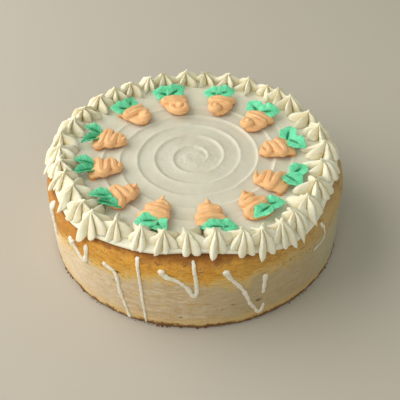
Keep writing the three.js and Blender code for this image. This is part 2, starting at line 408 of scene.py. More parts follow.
FROSTING_TOP = 71.5
FROSTING_THICKNESS = FROSTING_TOP - CAKE_HEIGHT
# What is left free between the frosting and the crust
TOP_GAP = 0.3
SHOULDER_GAP = 0.18
# How far down the shoulder's arc the rim reaches, in degrees, and how far it wavers
EVEN_DRAPE = 20.0
DRAPE_WAVER = 3.0
# How far the lip comes down past that, and how far up from there its bulge ends, in degrees
LIP_DROP = 6.0
LIP_BULGE = 10.0
# Where the rim runs further down or stops short: azimuth, width, degrees of the shoulder's arc
DRAPES = [(-53.0, 16.5, 34.0), (-24.0, 12.0, -9.0), (-91.0, 13.0, -22.0), (-140.0, 12.0, 15.0)]
COMB_CENTRE = (0.7, -3.8)
COMB_PITCH = 13.4
COMB_START = 9.6
COMB_DEPTH = 1.3
# The radii between which the ridge fades out
COMB_FADE = (72.0, 83.0)
# How far the ridge falls off on its inner and its outer side
COMB_RIDGE_WIDTHS = (1.3, 2.9)
# The turns stray off their centre by so much, towards this azimuth
COMB_SWAY = 2.0
COMB_SWAY_AZIMUTH = 38.0
FROSTING_SIDES = 420
UNDERSIDE_ROWS = 8
LIP_ROWS = 12
OUTSIDE_ROWS = 10
TOP_ROWS = 180

FROSTING_CREAM = (0.705, 0.668, 0.568)
FROSTING_SHADE = (0.57, 0.525, 0.408)
# Painted light, laid among the carrots and towards the rim against the stars' and carrots' shade
FROSTING_PAINTED_LIGHT = (0.86, 0.82, 0.68)


def frosting_material(name, cream, shade):
    frosting = Finish(
        name, Specular_IOR_Level=0.35,
        Subsurface_Weight=0.25, Subsurface_Scale=2.0 * MM, Subsurface_Radius=(1.0, 0.7, 0.4),
    )
    clouds = frosting.noise(14.0, 3.0, 0.6)
    fine = frosting.noise(1.6, 4.0, 0.65)
    bubbles = frosting.ranged(frosting.cells(4.5), 0.10, 0.03)
    colour = frosting.layered(cream, [(clouds, 0.3, 0.7, 0.3, shade), (fine, 0.45, 0.7, 0.25, shade)])
    # Painted light: lighter towards the rim and among the carrots
    colour = frosting.mix(frosting.attribute("rim"), colour, FROSTING_PAINTED_LIGHT)
    # Painted shade in the comb's hollows and in the stars' grooves
    colour = frosting.mix(frosting.attribute("fold"), colour, shade)
    normal = frosting.bump(clouds, 0.5, 0.3)
    normal = frosting.bump(fine, 0.2, 0.5, Normal=normal)
    normal = frosting.bump(bubbles, -0.12, 0.3, Normal=normal)
    return frosting.finish(colour, normal, Roughness=frosting.ranged(fine, 0.3, 0.7, 0.42, 0.58))


def humps(azimuth, rows):
    """The sum of humps over the azimuth. Each row: the centre, the width, and the height there."""
    return sum(
        height * math.exp(-((degrees_apart(azimuth, centre) / width) ** 2))
        for centre, width, height in rows
    )


def drape_at(azimuth):
    """How far down the shoulder the rim reaches, in degrees of the shoulder's arc."""
    return EVEN_DRAPE + humps(azimuth, DRAPES) + DRAPE_WAVER * noise.noise(turned(4.0, azimuth))


def shoulder_point(degrees, offset):
    """A radius and a height, so far off the crust and so many degrees down the shoulder's arc."""
    angle = math.radians(degrees)
    reach = SHOULDER_RADIUS + offset
    return (
        FLAT_RADIUS + reach * math.sin(angle),
        SHOULDER_HEIGHT + reach * math.cos(angle),
    )


def combed_depth(x, y):
    """How far the surface lies under the ridges' full height."""
    flat = (x, y, 0.0)
    away, azimuth = polar(x - COMB_CENTRE[0], y - COMB_CENTRE[1])
    sway = COMB_SWAY * smooth_step(away, 6.0, 28.0)
    wobble = sway * math.sin(math.radians(azimuth - COMB_SWAY_AZIMUTH)) + 0.5 * ripple(flat, 18.0, 2.0)
    turns = (away - COMB_START - wobble) / COMB_PITCH - (azimuth % 360.0) / 360.0
    # How far the last ridge lies inwards from here, and the next one outwards
    from_last = (turns % 1.0) * COMB_PITCH
    to_next = COMB_PITCH - from_last
    inner_width, outer_width = COMB_RIDGE_WIDTHS
    ridge = max(
        math.exp(-((from_last / outer_width) ** 1.1)),
        math.exp(-((to_next / inner_width) ** 1.5)),
    )
    lean = 0.35 * from_last / COMB_PITCH
    fade = smooth_step(away, 3.0, 11.0) * (1.0 - smooth_step(away, *COMB_FADE))
    strength = 0.8 + 0.45 * ripple(flat, 30.0, 7.0)
    middle = 0.5 * (1.0 - smooth_step(away, 2.0, 9.0)) * (1.0 + 0.9 * ripple(flat, 4.5, 11.0))
    smears = 0.10 * ripple(flat, 5.0, 6.0)
    smears += 0.16 * ripple(flat, 2.4, 8.0) * (1.0 - smooth_step(away, 12.0, 45.0))
    return COMB_DEPTH * fade * strength * (1.0 - ridge + lean) + middle + smears


def frosting_point(row, azimuth):
    """The radius and height of one row of the frosting's section, from underneath to the middle."""
    drape = drape_at(azimuth)
    uneven = 1.0 + 0.12 * noise.noise(turned(9.0, azimuth))
    thickness = FROSTING_THICKNESS * (1.0 - drape / 100.0) * uneven
    if row <= UNDERSIDE_ROWS:
        return shoulder_point(drape * row / UNDERSIDE_ROWS, SHOULDER_GAP)
    row -= UNDERSIDE_ROWS
    if row <= LIP_ROWS:
        turn = math.pi * row / LIP_ROWS
        down = drape + LIP_DROP - LIP_BULGE * (1.0 - math.sin(turn))
        return shoulder_point(down, SHOULDER_GAP + thickness / 2.0 * (1.0 - math.cos(turn)))
    row -= LIP_ROWS
    if row <= OUTSIDE_ROWS:
        share = row / OUTSIDE_ROWS
        down = (drape + LIP_DROP - LIP_BULGE) * (1.0 - share)
        radius, height = shoulder_point(down, SHOULDER_GAP + thickness)
        return radius, lerp(height, FROSTING_TOP, smooth_step(share, 0.3, 1.0))
    row -= OUTSIDE_ROWS
    return FLAT_RADIUS * (1.0 - row / TOP_ROWS), FROSTING_TOP


def frosting_top():
    bm = bmesh.new()
    row_layer = vertex_layer(bm, "row")
    painted_shade_layer = vertex_layer(bm, "fold")
    rim_light_layer = vertex_layer(bm, "rim")
    rim_rows = UNDERSIDE_ROWS + LIP_ROWS + OUTSIDE_ROWS
    # The rows only stand apart here, and are put in their places when they have been spun round
    rows = [(10.0 + row, 0.0, 0.0) for row in range(rim_rows + TOP_ROWS)]
    section = [(0.0, 0.0, CAKE_HEIGHT + TOP_GAP), *rows, (0.0, 0.0, FROSTING_TOP)]
    for row, v in enumerate(joined_points(bm, section)):
        v[row_layer] = row - 1
    spin_round(bm, FROSTING_SIDES)
    for v in bm.verts:
        row = v[row_layer]
        away, azimuth = polar(v.co.x, v.co.y)
        if away < 1.0:
            v.co.z -= combed_depth(0.0, 0.0) if v.co.z > CAKE_HEIGHT + 1.0 else 0.0
            continue
        radius, height = frosting_point(row, azimuth)
        v.co = turned(radius * round_share(azimuth), azimuth, height)
        # Painted light: some out among the carrots, most towards the rim
        v[rim_light_layer] = 0.3 * smooth_step(radius, 40.0, 65.0) + 0.7 * smooth_step(radius, 86.0, 100.0)
        if row > rim_rows:
            depth = combed_depth(v.co.x, v.co.y)
            v.co.z -= depth
            # Painted shade in the comb's hollows
            v[painted_shade_layer] = 0.2 * smooth_step(depth, 0.7, 1.6)
        if row > UNDERSIDE_ROWS:
            v.co.z += 0.12 * ripple(v.co, 9.0, 4.0)
    material = frosting_material("smoothed_frosting", FROSTING_CREAM, FROSTING_SHADE)
    make_piece("frosting_top", bm, material, "frosting", "frosting_top")


frosting_top()


# ----------------------------------------
# The ring of stars. The same cream, piped with an open star nozzle of six teeth, close together
# along the rim: each is squeezed out, pressed flat by its neighbours and drawn up to a point.

STAR_COUNT = 36
STAR_RING_RADIUS = 101.5
STAR_RADIUS = 11.8
STAR_HEIGHT = 13.8
STAR_RIDGES = 6
STAR_SEGMENTS = 96
# How far the outer ridges sag over the rim
STAR_SAG = 2.2
# Out there the frosting's surface is an arc: how far its middle lies over that of the shoulder's
# arc, and how far over its own middle it ends
RIM_ARC_LIFT = 1.2
RIM_ARC_END = 3.0
# How far a star swells past the middle between it and its neighbour, where they press flat
STAR_OVERLAP = 5.0
# The depth of the grooves at the foot and above it, and on the star's inner side, as shares
GROOVE_DEPTHS = (0.54, 0.72)
INNER_GROOVE_DEPTH = 0.80
# Under 1, the inner grooves are wider than the ridges between them
INNER_NARROWNESS = 0.6
# How keen the ridges are at the foot, half-way up and at the point, from 0 to 1
RIDGE_KEENNESS = (0.60, 0.40, 0.80)
# What differs from star to star, least and most: the size and the height as shares, the turn and
# the twist in degrees, and how far the point leans and the tip is hooked, each outwards and aside
STAR_SIZES = (0.92, 1.12)
STAR_HEIGHTS = (0.87, 1.07)
STAR_TURNS = (21.0, 39.0)
STAR_TWISTS = (-6.0, 16.0)
STAR_LEANS = [(-4.3, -0.7), (-2.8, 2.8)]
STAR_HOOKS = [(-1.9, 1.1), (-2.6, 2.6)]
# What differs from ridge to ridge, least and most: the size, the turn in degrees and the height
RIDGE_SIZES = (-0.23, 0.21)
RIDGE_TURNS = (-14.0, 14.0)
RIDGE_HEIGHTS = (-0.20, 0.20)
# Evenly spaced runs of stars, each from one of these stars, at its azimuth, to the next
STAR_RUNS = [
    (0, -122.0), (5, -72.5), (9, -40.3), (15, 35.4), (17, 51.3),
    (22, 103.7), (26, 139.7), (30, 182.0), (32, 198.0), (36, 238.0),
]
# Where the ring strays outwards or inwards: azimuth, width, and how far
RING_BULGES = [
    (-58.0, 17.0, 6.5), (-88.0, 10.0, -2.0), (-134.0, 9.0, 5.0), (158.0, 24.0, 3.5), (188.0, 18.0, 2.0),
]
# Each with azimuth, width and by what share: where the stars are larger, where they spread
# further over the rim, where their inner ridges reach further in, and where they slumped
STAR_GROWTHS = [(-40.0, 26.0, 0.04), (-134.0, 16.0, 0.08)]
STAR_SPREADS = [(180.0, 38.0, 0.16), (0.0, 32.0, 0.22), (90.0, 35.0, 0.10)]
STAR_INNER_SPREADS = [(185.0, 45.0, 0.30), (-5.0, 45.0, 0.25)]
STAR_SLUMPS = [(-56.0, 12.0, 0.20)]
# Where the stars are looser, with rounder and less even ridges
STAR_LOOSENESS = [(180.0, 50.0, 1.0), (0.0, 40.0, 1.0)]
# A star's ridge, from its foot to its point: the reach of an outer and an inner ridge, and the
# height, as shares
STAR_OUTLINE = [
    (0.74, 0.88, 0.00), (0.83, 1.00, 0.05), (0.84, 1.04, 0.12), (0.81, 1.05, 0.21), (0.75, 1.02, 0.31),
    (0.67, 0.96, 0.41), (0.58, 0.86, 0.50), (0.48, 0.72, 0.58), (0.41, 0.56, 0.65), (0.34, 0.42, 0.71),
    (0.26, 0.29, 0.77), (0.18, 0.19, 0.83), (0.12, 0.12, 0.88), (0.08, 0.08, 0.94), (0.04, 0.04, 1.00),
]
OUTLINE_STEPS = 2

STAR_CREAM = (0.93, 0.895, 0.76)
STAR_SHADE = (0.7, 0.57, 0.28)


def star_azimuth(star):
    turns, star = divmod(star, STAR_COUNT)
    for (start, start_azimuth), (end, end_azimuth) in zip(STAR_RUNS, STAR_RUNS[1:]):
        if star <= end:
            share = (star - start) / (end - start)
            return lerp(start_azimuth, end_azimuth, share) + 360.0 * turns


def surface_height(radius, azimuth):
    """The height of the frosting's surface, on the top or out on the shoulder."""
    out = radius / round_share(azimuth) - FLAT_RADIUS
    if out <= 0.0:
        return FROSTING_TOP
    reach = SHOULDER_RADIUS + FROSTING_THICKNESS - RIM_ARC_LIFT
    up = math.sqrt(max(RIM_ARC_END ** 2, reach * reach - out * out))
    return SHOULDER_HEIGHT + up + RIM_ARC_LIFT


def along_outline(outline, share):
    """A point so far along a list of points, on a smooth curve through them."""
    place = share * (len(outline) - 1)
    index = min(int(place), len(outline) - 2)
    first, second = outline[index], outline[index + 1]
    before = outline[max(index - 1, 0)]
    after = outline[min(index + 2, len(outline) - 1)]
    t = place - index
    return tuple(
        0.5 * (2 * b + (c - a) * t + (2 * a - 5 * b + 4 * c - d) * t * t + (3 * b - a - 3 * c + d) * t ** 3)
        for a, b, c, d in zip(before, first, second, after)
    )


def extruded_rings(bm, segments, ring_count, place):
    """A closed form: a round end, extruded ring by ring. place(turn, ring) gives each point and the painted
    shade there.
    """
    turn_layer = vertex_layer(bm, "turn")
    painted_shade_layer = vertex_layer(bm, "fold")
    ring_verts = bmesh.ops.create_circle(bm, cap_ends=True, segments=segments, radius=1.0)["verts"]
    for v in ring_verts:
        v[turn_layer] = math.atan2(v.co.y, v.co.x)
    edges = list({edge for v in ring_verts for edge in v.link_edges})
    for ring in range(ring_count):
        if ring:
            grown = bmesh.ops.extrude_edge_only(bm, edges=edges)["geom"]
            ring_verts = [item for item in grown if isinstance(item, bmesh.types.BMVert)]
            edges = [item for item in grown if isinstance(item, bmesh.types.BMEdge)]
            edges = [edge for edge in edges if all(v in ring_verts for v in edge.verts)]
        for v in ring_verts:
            v.co, v[painted_shade_layer] = place(v[turn_layer], ring)
    bmesh.ops.contextual_create(bm, geom=edges)


def soft_limit(value, limit, blend=0.9):
    """The value, pressed smoothly under a limit."""
    if value < limit - 6.0 * blend:
        return value
    return limit - blend * math.log1p(math.exp((limit - value) / blend))


def piped_star(star, material):
    draw = random.Random(100 + star)
    azimuth = star_azimuth(star)
    ring_radius = STAR_RING_RADIUS + humps(azimuth, RING_BULGES)
    spread = 1.0 + humps(azimuth, STAR_SPREADS)
    inner_spread = 1.0 + humps(azimuth, STAR_INNER_SPREADS)
    looseness = humps(azimuth, STAR_LOOSENESS)
    uneven = 1.0 + 0.5 * looseness
    size = STAR_RADIUS * draw.uniform(*STAR_SIZES) * (1.0 + humps(azimuth, STAR_GROWTHS))
    height = STAR_HEIGHT * draw.uniform(*STAR_HEIGHTS) * (1.0 - humps(azimuth, STAR_SLUMPS))
    start = math.radians(draw.uniform(*STAR_TURNS))
    twist = math.radians(draw.uniform(*STAR_TWISTS) * (1.0 + looseness))
    lean, hook = (
        Vector([draw.uniform(*limits) for limits in ways]) for ways in (STAR_LEANS, STAR_HOOKS)
    )
    sizes, turns, heights = (
        [draw.uniform(*limits) * uneven for _ in range(STAR_RIDGES)]
        for limits in (RIDGE_SIZES, RIDGE_TURNS, RIDGE_HEIGHTS)
    )
    half_gaps = [
        math.radians(star_azimuth(star + side) - azimuth) * side * ring_radius / 2.0 + STAR_OVERLAP
        for side in (-1, 1)
    ]
    rings = OUTLINE_STEPS * (len(STAR_OUTLINE) - 1) + 1

    def keenness(up):
        foot, middle, point = RIDGE_KEENNESS
        lower = lerp(foot * (1.0 - looseness), middle, smooth_step(up, 0.05, 0.35))
        return lerp(lower, point, smooth_step(up, 0.4, 0.8))

    def groove_depth(up, outwards):
        depth = lerp(*GROOVE_DEPTHS, smooth_step(up, 0.0, 0.35))
        return lerp(INNER_GROOVE_DEPTH, depth, outwards) * (1.0 - smooth_step(up, 0.82, 1.0))

    def place(turn, ring):
        outer, inner, up = along_outline(STAR_OUTLINE, ring / (rings - 1))
        # The nearest ridge and how far off it this point is, from -1 to 1. The points are then
        # drawn together towards the grooves.
        place_on_ridges = turn / math.tau * STAR_RIDGES
        nearest = round(place_on_ridges)
        offset = 2.0 * (place_on_ridges - nearest)
        quarter = math.pi / 2.0 * abs(offset)
        aside = math.sin(quarter)
        turn = (nearest + math.copysign(aside, offset) / 2.0) / STAR_RIDGES * math.tau
        nearest %= STAR_RIDGES
        calm = 1.0 - smooth_step(up, 0.55, 0.9)
        ridge = (1.0 - aside) * calm
        angle = turn + start + twist * up + math.radians(turns[nearest]) * ridge
        outwards = smooth_step(math.cos(angle), -0.6, 0.6)
        in_groove = lerp(1.0 - math.cos(quarter), aside, keenness(up))
        in_groove **= lerp(INNER_NARROWNESS, 1.0, outwards)
        radius = size * lerp(inner * inner_spread, outer * spread, outwards)
        radius *= (1.0 - groove_depth(up, outwards) * in_groove) * (1.0 + sizes[nearest] * ridge)
        # The point leans over, and its tip is pulled off in a small hook
        spike = smooth_step(up, 0.8, 1.0)
        x = radius * math.cos(angle) + lean.x * up ** 1.6 + hook.x * spike
        y = radius * math.sin(angle) + lean.y * up ** 1.6 + hook.y * spike
        pressed = soft_limit(abs(y), half_gaps[1 if y > 0.0 else 0])
        lifted = 0.4 * (abs(y) - pressed)
        y = math.copysign(pressed, y)
        out = ring_radius + x
        sag = STAR_SAG * (1.0 - 0.7 * looseness) * smooth_step(out, ring_radius + 3.0, ring_radius + 9.0)
        base = surface_height(out, azimuth) - sag
        z = lerp(base, FROSTING_TOP, smooth_step(up, 0.2, 0.9)) + lifted - 0.3
        z += height * up * (1.0 + heights[nearest] * ridge)
        bumps = 0.35 * calm * ripple((x, y, 4.0 * up), 5.0, 3.0 * star)
        bumps += 0.26 * ripple((x, y, z), 1.8, 5.0 * star)
        point = Vector((out + bumps, y + bumps, z + 0.6 * bumps))
        # Painted shade in the grooves between the ridges, mostly low on the star
        fold = in_groove ** 1.5 * smooth_step(up, -0.1, 0.15) * (1.0 - 0.6 * up)
        return rotation(azimuth) @ point, fold

    bm = bmesh.new()
    extruded_rings(bm, STAR_SEGMENTS, rings, place)
    name = f"star_{star + 1:02d}"
    make_piece(f"piped_{name}", bm, material, "star_frosting", name)


star_material = frosting_material("piped_frosting", STAR_CREAM, STAR_SHADE)
for star in range(STAR_COUNT):
    piped_star(star, star_material)


# ----------------------------------------
# The carrots' roots. Orange icing, laid in fat swings from side to side with a small nozzle,
# each swing narrower than the last and half on top of it, and pulled off in a short raised tip.

# Each carrot: radius and azimuth about the comb's centre, the turn of its tip off the middle, and
# the side of the coil that it ends in, or 0 where it is drawn up to a point
CARROTS = [
    (69.0, 103.0, 3.0, -1), (69.0, 71.0, 8.0, 1), (64.7, 39.0, 17.0, 1), (62.8, 3.0, 18.0, 0),
    (64.7, -31.6, 8.0, 0), (72.0, -56.0, -1.0, 0), (70.0, -82.2, -2.0, 0), (70.5, -113.2, 2.0, 0),
    (70.0, -139.5, -6.0, 0), (69.0, -167.5, -9.0, 0), (69.0, 163.6, 1.0, 0), (71.0, 131.4, 1.0, -1),
]
CARROT_LENGTH = 32.0
CARROT_HALF_WIDTH = 12.0
# By what share a pointed root and a coiled one are narrower at the tip
CARROT_TAPERS = (0.62, 0.40)
# How many times the rope crosses over, and how much faster it goes along where it turns back
CARROT_SWINGS = (4.6, 5.0, 5.4)
SWING_STEP = 0.7
# Where the rope and the icing under it start and end, as shares of the root's length
ROPE_ENDS = (0.37, -0.37)
CORE_ENDS = (0.44, -0.42)
# The rope's radius at its start and its end, and the ridges that the nozzle's teeth leave on it
ROPE_RADII = (3.7, 2.9)
ROPE_TEETH = 9
# The coil: where on the rope it starts, its turns, its rise, its middle and the rope's radii in it
COIL_START = 0.68
COIL_TURNS = 1.35
COIL_RISE = 2.6
COIL_MIDDLE = (-0.27 * CARROT_LENGTH, 2.6)
COIL_RADII = (3.0, 2.6)
# The rope's round end in the middle of a coil: its radius and how far it stands up
COIL_KNOB = (2.2, 0.8)
# The share of the root's width that the icing under the swings fills
CORE_SHARE = 0.9
CARROT_VOXEL = 0.36
ROPE_SEGMENTS = 36
ROPE_RINGS = 170
CORE_RINGS = 25
# How deep a hollow is that counts as a full fold, and how often the folds' depths are evened out
FOLD_REACH = 0.065
FOLD_SMOOTHINGS = 3

CARROT_ORANGE = (0.9, 0.53, 0.26)
# Painted shade in the folds
CARROT_FOLD_SHADE = (0.73, 0.26, 0.05)


def icing_material(name, colour, shade_colour):
    icing = Finish(
        name, Specular_IOR_Level=0.4,
        Subsurface_Weight=0.2, Subsurface_Scale=1.5 * MM, Subsurface_Radius=(1.0, 0.6, 0.3),
    )
    clouds = icing.noise(5.0, 2.0, 0.5)
    fine = icing.noise(0.7, 3.0, 0.6)
    colour = icing.layered(colour, [
        # Painted shade in the folds
        (icing.attribute("fold"), 0.05, 0.8, 1.0, shade_colour),
        (clouds, 0.35, 0.7, 0.25, shade_colour),
    ])
    roughness = icing.ranged(clouds, 0.3, 0.7, 0.38, 0.55)
    return icing.finish(colour, icing.bump(fine, 0.1, 0.4), Roughness=roughness)


def mark_folds(bm):
    """Stores painted shade in the folds, from the lie of each point's neighbours, and near the foot."""
    painted_shade_layer = vertex_layer(bm, "fold")
    neighbours = {v: [edge.other_vert(v) for edge in v.link_edges] for v in bm.verts}
    folds = {}
    for v, around in neighbours.items():
        middle = sum((other.co for other in around), Vector()) / len(around)
        folds[v] = (middle - v.co).dot(v.normal) / FOLD_REACH
    for _ in range(FOLD_SMOOTHINGS):
        folds = {
            v: (folds[v] + sum(folds[other] for other in around)) / (1 + len(around))
            for v, around in neighbours.items()
        }
    for v, fold in folds.items():
        # Painted shade in the folds, and painted contact shade near the foot
        v[painted_shade_layer] = min(1.0, max(0.0, fold) + 0.6 * (1.0 - smooth_step(v.co.z, 0.5, 3.5)))


def one_skin(bm):
    """One closed, smoothed skin around all the closed forms in a bmesh."""
    loose = mesh_object("loose_forms", bm)
    remesh = loose.modifiers.new("one_skin", "REMESH")
    remesh.mode = "VOXEL"
    remesh.voxel_size = CARROT_VOXEL
    bpy.context.view_layer.update()
    skin = bpy.data.meshes.new_from_object(loose.evaluated_get(bpy.context.evaluated_depsgraph_get()))
    bpy.data.meshes.remove(loose.data)
    bm = bmesh.new()
    bm.from_mesh(skin)
    bpy.data.meshes.remove(skin)
    bmesh.ops.smooth_vert(bm, verts=bm.verts, factor=0.5, use_axis_x=True, use_axis_y=True, use_axis_z=True)
    bm.normal_update()
    return bm


def carrot_place(carrot):
    """The carrot's own frame: +X from its tip to its leaves, z = 0 on the frosting."""
    radius, azimuth, turn = CARROTS[carrot][:3]
    middle = Vector((*COMB_CENTRE, FROSTING_TOP)) + turned(radius, azimuth)
    return Matrix.Translation(middle) @ rotation(azimuth + turn)


def carrot_half_width(share, coiled):
    """Half the root's width, so far from its wide end to its tip."""
    return CARROT_HALF_WIDTH * (1.0 - CARROT_TAPERS[coiled] * share ** 2.2)


def rounded_ends(share, first, last):
    """How wide a form with two round ends of these lengths is, so far along it."""
    width = 1.0
    for gone in (share / first, (1.0 - share) / last):
        short = 1.0 - min(1.0, gone)
        width *= math.sqrt(max(0.01, 1.0 - short * short))
    return width


def carrot_root(carrot, material):
    draw = random.Random(300 + carrot)
    coil_side = CARROTS[carrot][3]
    coiled = coil_side != 0
    swings = draw.choice(CARROT_SWINGS)
    side = draw.choice((-1.0, 1.0))
    bend = draw.uniform(-1.5, 1.5)
    peak = draw.uniform(4.5, 6.5)
    peak_side = draw.uniform(-1.0, 1.0)
    slant = draw.uniform(0.0, 1.0) * side

    def swung(share):
        """A point of the rope's middle on its way to and fro."""
        sway = math.sin(math.pi * (swings * share + 0.5))
        sway = side * math.copysign(abs(sway) ** 0.75, sway)
        half = max(0.0, carrot_half_width(share, coiled) - lerp(*ROPE_RADII, share))
        stepped = share - SWING_STEP * math.sin(math.tau * (swings * share + 0.5)) / (math.tau * swings)
        x = CARROT_LENGTH * lerp(*ROPE_ENDS, stepped) + slant * sway * (1.0 - share)
        y = half * sway + bend * share * share
        z = lerp(1.0, 5.0, smooth_step(share, 0.0, 0.35))
        z -= 1.2 * smooth_step(share, 0.6, 1.0) + 1.2 * abs(sway)
        return Vector((x, y, z))

    coil_middle = Vector((COIL_MIDDLE[0], coil_side * COIL_MIDDLE[1], 0.0))
    spoke = swung(COIL_START) - coil_middle
    heading = swung(COIL_START + 0.01) - swung(COIL_START)
    winding = math.copysign(360.0 * COIL_TURNS, spoke.x * heading.y - spoke.y * heading.x)

    def path(share):
        """A point of the rope's middle, and its radius there."""
        if coiled and share > COIL_START:
            wound = (share - COIL_START) / (1.0 - COIL_START)
            angle = math.degrees(math.atan2(spoke.y, spoke.x)) + winding * wound
            reach = lerp(math.hypot(spoke.x, spoke.y), 0.3, wound ** 0.75)
            middle = coil_middle + turned(reach, angle, spoke.z + COIL_RISE * wound)
            return middle, lerp(*COIL_RADII, wound) * lerp(1.0, 0.8, smooth_step(wound, 0.85, 1.0))
        pulled = 0.0 if coiled else smooth_step(share, 0.88, 1.0)
        middle = swung(share)
        middle.y = lerp(middle.y, bend + peak_side, pulled)
        middle.z += peak * pulled
        return middle, lerp(*ROPE_RADII, share) * lerp(1.0, 0.2, pulled ** 0.7)

    def rope(turn, ring):
        share = ring / (ROPE_RINGS - 1)
        middle, thick = path(share)
        ahead = (path(min(1.0, share + 0.004))[0] - path(max(0.0, share - 0.004))[0]).normalized()
        across = ahead.cross(Vector((0, 0, 1))).normalized()
        above = across.cross(ahead)
        ridged = thick * (1.0 + 0.05 * math.cos(ROPE_TEETH * turn)) * rounded_ends(share, 0.04, 0.025)
        return middle + (across * math.cos(turn) + above * math.sin(turn)) * ridged, 0.0

    def core(turn, ring):
        share = ring / (CORE_RINGS - 1)
        half = CORE_SHARE * carrot_half_width(share, coiled) * rounded_ends(share, 0.15, 0.2)
        x = CARROT_LENGTH * lerp(*CORE_ENDS, share)
        y = half * math.cos(turn) + bend * share * share
        high = lerp(2.2, 3.3, smooth_step(share, 0.0, 0.3)) - (0.9 if coiled else 1.3) * share
        return Vector((x, y, max(0.0, high * (1.0 + math.sin(turn))))), 0.0

    bm = bmesh.new()
    extruded_rings(bm, ROPE_SEGMENTS, ROPE_RINGS, rope)
    extruded_rings(bm, ROPE_SEGMENTS, CORE_RINGS, core)
    if coiled:
        radius, rise = COIL_KNOB
        knob = Matrix.Translation((*coil_middle.xy, path(1.0)[0].z + rise))
        bmesh.ops.create_uvsphere(bm, u_segments=24, v_segments=16, radius=radius, matrix=knob)
    bmesh.ops.recalc_face_normals(bm, faces=bm.faces)
    bm = one_skin(bm)
    for v in bm.verts:
        v.co.z = max(v.co.z, -0.2)
    mark_folds(bm)
    bmesh.ops.transform(bm, matrix=carrot_place(carrot), verts=bm.verts)
    name = f"carrot_{carrot + 1:02d}"
    make_piece(f"root_{name}", bm, material, "carrot_icing", name)


carrot_material = icing_material("orange_icing", CARROT_ORANGE, CARROT_FOLD_SHADE)
for carrot in range(len(CARROTS)):
    carrot_root(carrot, carrot_material)


# ----------------------------------------
# The carrots' leaves. Green icing from a leaf nozzle, two to a carrot, the second half on the
# first: each starts round at the root, is folded along its middle, and is pulled off to a point.

# Each carrot's two leaves, the second of which lies on the first: where its middle lies in the
# carrot's frame, its direction counted from the carrot's outward end, and its height
LEAVES = [
    (15.6, 6.6, 64.0, 3.8), (14.0, -4.8, -64.0, 5.0),
    (12.6, 8.0, 92.0, 3.8), (14.0, -2.0, -62.0, 5.0),
    (14.0, 9.4, 80.0, 3.6), (14.0, -4.5, -46.0, 4.8),
    (17.4, 12.4, 70.0, 3.6), (16.6, -2.6, -50.0, 4.8),
    (16.5, 18.0, 77.0, 3.2), (16.4, 3.4, -18.0, 4.6),
    (8.8, 12.0, 72.0, 3.2), (12.0, -0.3, -82.0, 4.8),
    (15.0, 9.4, 85.0, 3.0), (14.7, -0.1, -100.0, 4.2),
    (13.0, 6.4, 60.0, 3.0), (13.7, -2.4, -66.0, 4.2),
    (13.2, 4.6, 115.0, 3.2), (15.2, -5.0, -54.0, 5.2),
    (16.6, 4.4, 2.0, 3.8), (17.0, -5.2, -31.0, 5.0),
    (14.0, 4.2, 45.0, 3.8), (16.7, -5.6, -14.0, 5.0),
    (13.4, -4.2, -52.0, 3.8), (12.4, 6.0, 52.0, 5.0),
]
# How far the leaves of some carrots lean back on the stars, in degrees
LEAF_LEANS = {0: 26.0, 1: 26.0, 2: 24.0, 3: 12.0, 10: 10.0, 11: 22.0}
LEAF_LENGTH = 17.5
LEAF_THICKNESS = 1.7
# The half width, how high the edges are cupped, and how much of the fold's painted shade lies all over,
# for leaves that lie open and for those of some carrots, which are folded along their middles
OPEN_LEAF = (7.0, 1.9, 0.0)
FOLDED_LEAF = (4.8, 3.6, 0.25)
FOLDED_CARROTS = (8, 9, 10)
LEAF_RINGS = 56
LEAF_SEGMENTS = 64

LEAF_GREEN = (0.19, 0.8, 0.46)
# Painted shade in the leaves' folds
LEAF_FOLD_SHADE = (0.015, 0.27, 0.11)


